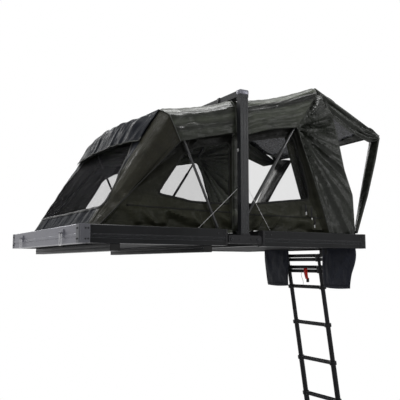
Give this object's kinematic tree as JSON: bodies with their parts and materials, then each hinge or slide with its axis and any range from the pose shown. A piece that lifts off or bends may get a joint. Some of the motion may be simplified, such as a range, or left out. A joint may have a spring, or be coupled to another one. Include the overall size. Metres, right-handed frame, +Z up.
{
  "type": "rooftop tent",
  "caption": "Fold-out hard-shell rooftop tent, open on its two shells, with a square hoop on the hinged spine, net windows, an end awning and a telescopic ladder.",
  "frame": {"origin": "middle of the inner mounting rail's flat underside", "axes": "+X along the tent from the base half towards the fold-out half and its ladder, +Y across it from the near side to the far side, +Z up"},
  "size_m": [2.3884, 1.404, 2.9211],
  "materials": {
    "black_aluminium": "satin black powder coat on aluminium extrusion",
    "grey_aluminium": "satin grey anodised casting",
    "steel": "bright plated steel",
    "board": "black composite floor panel",
    "canvas": "coated black-olive tent canvas",
    "mattress_cloth": "dark grey woven mattress cover",
    "bag_cloth": "near-black coated cloth"
  },
  "bodies": {
    "base_half": {"base_side_rail_near": "black_aluminium", "base_side_rail_far": "black_aluminium", "base_end_rail": "grey_aluminium", "base_corner_near": "grey_aluminium", "base_corner_far": "grey_aluminium", "base_inner_rail": "black_aluminium", "base_floor": "board", "base_mattress": "mattress_cloth", "mounting_rail_inner": "black_aluminium", "mounting_rail_outer": "black_aluminium", "base_canopy": "canvas", "end_hood": "canvas"},
    "spine": {"spine_bracket_near": "black_aluminium", "spine_bracket_far": "black_aluminium", "spine_beam": "black_aluminium", "hinge_pin_base": "steel", "hinge_pin_fold": "steel", "hoop_post_near": "black_aluminium", "hoop_post_far": "black_aluminium", "hoop_top_bar": "black_aluminium", "spine_canopy": "canvas"},
    "fold_half": {"fold_side_rail_near": "black_aluminium", "fold_side_rail_far": "black_aluminium", "fold_end_rail": "grey_aluminium", "fold_corner_near": "grey_aluminium", "fold_corner_far": "grey_aluminium", "fold_inner_rail": "black_aluminium", "fold_floor": "board", "fold_mattress": "mattress_cloth", "ladder_bracket": "steel", "boot_bag_near": "bag_cloth", "boot_bag_far": "bag_cloth", "fold_canopy": "canvas", "awning": "canvas", "awning_strut_near": "canvas", "awning_strut_far": "canvas"},
    "base_pole_hoop": {"base_pole": "black_aluminium"},
    "support_tubes": {"support_tube_near": "black_aluminium", "support_tube_far": "black_aluminium"},
    "support_hoop": {"support_pole": "black_aluminium"},
    "ladder_1": {"ladder_section_1": "black_aluminium"},
    "ladder_2": {"ladder_section_2": "black_aluminium"},
    "ladder_3": {"ladder_section_3": "black_aluminium"},
    "ladder_4": {"ladder_section_4": "black_aluminium"},
    "ladder_5": {"ladder_section_5": "black_aluminium"},
    "ladder_6": {"ladder_section_6": "black_aluminium"},
    "ladder_7": {"ladder_section_7": "black_aluminium"},
    "ladder_8": {"ladder_section_8": "black_aluminium"},
    "ladder_9": {"ladder_section_9": "black_aluminium"},
    "latch_bail_near": {"latch_near": "steel"},
    "latch_bail_far": {"latch_far": "steel"}
  },
  "joints": [
    {"name": "spine_hinge", "type": "hinge", "parent": "base_half", "child": "spine", "pos_m": [0.17, 0, 0.08], "axis": [0, 1, 0], "range_deg": [-90, 0], "deforming": ["base_canopy", "end_hood"]},
    {"name": "fold_hinge", "type": "hinge", "parent": "spine", "child": "fold_half", "pos_m": [0.37, 0, 0.08], "axis": [0, 1, 0], "range_deg": [-90, 0], "deforming": ["fold_canopy", "awning", "awning_strut_near", "awning_strut_far"]},
    {"name": "base_pole_swing", "type": "hinge", "parent": "base_half", "child": "base_pole_hoop", "pos_m": [0.11, 0, 0.1545], "axis": [0, 1, 0], "range_deg": [-65, 0]},
    {"name": "support_pole_swing", "type": "hinge", "parent": "spine", "child": "support_tubes", "pos_m": [0.27, 0, 0.145], "axis": [0, 1, 0], "range_deg": [-33.5, 0]},
    {"name": "support_pole_slide", "type": "slide", "parent": "support_tubes", "child": "support_hoop", "axis": [0.5519, 0, 0.8339], "range_m": [-0.45, 0]},
    {"name": "ladder_hinge", "type": "hinge", "parent": "fold_half", "child": "ladder_1", "pos_m": [1.275, -0.087, -0.005], "axis": [0, 1, 0], "range_deg": [-75, 0]},
    {"name": "ladder_slide_2", "type": "slide", "parent": "ladder_1", "child": "ladder_2", "axis": [0.1547, 0, -0.988], "range_m": [0, 0.26]},
    {"name": "ladder_slide_3", "type": "slide", "parent": "ladder_2", "child": "ladder_3", "axis": [0.1547, 0, -0.988], "range_m": [-0.03, 0.23]},
    {"name": "ladder_slide_4", "type": "slide", "parent": "ladder_3", "child": "ladder_4", "axis": [0.1547, 0, -0.988], "range_m": [0, 0.26]},
    {"name": "ladder_slide_5", "type": "slide", "parent": "ladder_4", "child": "ladder_5", "axis": [0.1547, 0, -0.988], "range_m": [-0.095, 0.165]},
    {"name": "ladder_slide_6", "type": "slide", "parent": "ladder_5", "child": "ladder_6", "axis": [0.1547, 0, -0.988], "range_m": [-0.26, 0]},
    {"name": "ladder_slide_7", "type": "slide", "parent": "ladder_6", "child": "ladder_7", "axis": [0.1547, 0, -0.988], "range_m": [-0.26, 0]},
    {"name": "ladder_slide_8", "type": "slide", "parent": "ladder_7", "child": "ladder_8", "axis": [0.1547, 0, -0.988], "range_m": [-0.26, 0]},
    {"name": "ladder_slide_9", "type": "slide", "parent": "ladder_8", "child": "ladder_9", "axis": [0.1547, 0, -0.988], "range_m": [-0.26, 0]},
    {"name": "latch_near_swing", "type": "hinge", "parent": "base_half", "child": "latch_bail_near", "pos_m": [-0.802, -0.42, 0.102], "axis": [0, 1, 0], "range_deg": [0, 150]},
    {"name": "latch_far_swing", "type": "hinge", "parent": "base_half", "child": "latch_bail_far", "pos_m": [-0.802, 0.42, 0.102], "axis": [0, 1, 0], "range_deg": [0, 150]}
  ],
  "couplings": [
    {"joint": "fold_hinge", "follows": "spine_hinge", "ratio": 1},
    {"joint": "base_pole_swing", "follows": "spine_hinge", "ratio": 0.72222},
    {"joint": "support_pole_swing", "follows": "spine_hinge", "ratio": 0.37222},
    {"joint": "support_pole_slide", "follows": "spine_hinge", "m_per_rad": 0.28648}
  ]
}
